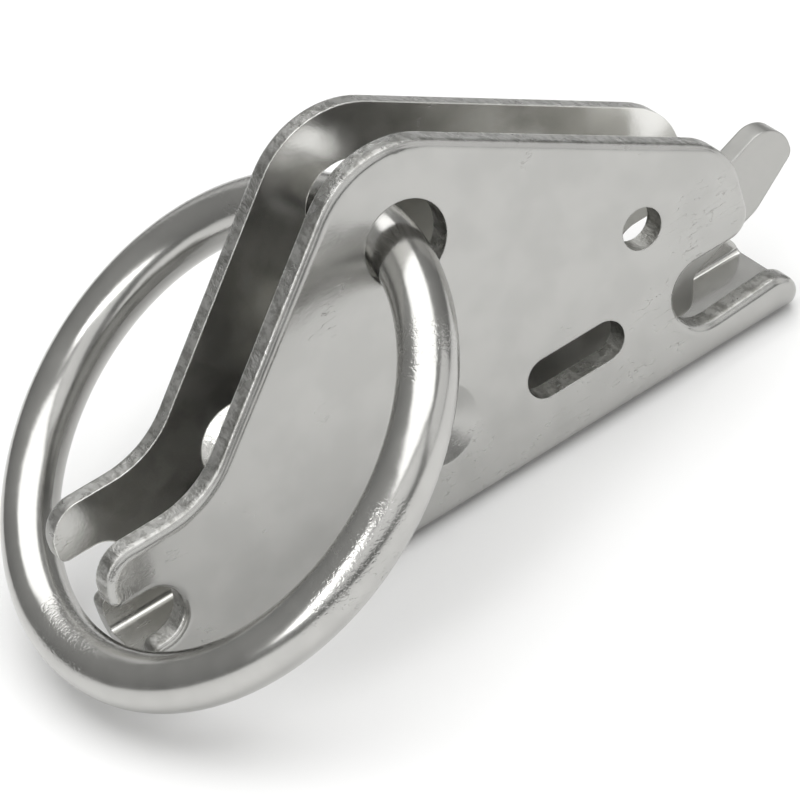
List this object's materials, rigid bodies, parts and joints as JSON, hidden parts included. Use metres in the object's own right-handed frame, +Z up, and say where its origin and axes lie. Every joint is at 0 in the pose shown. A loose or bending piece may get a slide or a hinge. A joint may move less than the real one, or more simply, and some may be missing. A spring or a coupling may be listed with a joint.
{
  "type": "spring-loaded track anchor with pull ring",
  "caption": "Folded steel anchor that hooks into a slotted track, with a sprung sliding keeper and thumb tab, and a welded pull ring through its top eye.",
  "frame": {"origin": "centre of the body's bottom face, directly below the axis of the ring eye", "axes": "+X along the body towards the thumb tab, +Y across the two side plates, +Z up, away from the track"},
  "size_m": [0.0801, 0.0492, 0.0375],
  "materials": {
    "plated_sheet": "bright zinc plating, lightly scuffed",
    "plated_keeper": "bright zinc plating, rough punched edge",
    "spring_wire": "drawn spring wire",
    "plated_wire": "bright zinc plating, polished"
  },
  "bodies": {
    "body": {"folded_body": "plated_sheet", "coil_spring": "spring_wire"},
    "keeper": {"keeper_plate": "plated_keeper"},
    "ring": {"pull_ring": "plated_wire"}
  },
  "joints": [
    {"name": "ring_swing", "type": "hinge", "parent": "body", "child": "ring", "pos_m": [0, 0, 0.0284], "axis": [0, 1, 0], "range_deg": [0, 220]},
    {"name": "keeper_slide", "type": "slide", "parent": "body", "child": "keeper", "axis": [1, 0, 0], "range_m": [-0.0055, 0], "stiffness_N_per_m": 900, "springref_m": 0.004, "deforming": ["coil_spring"]}
  ]
}
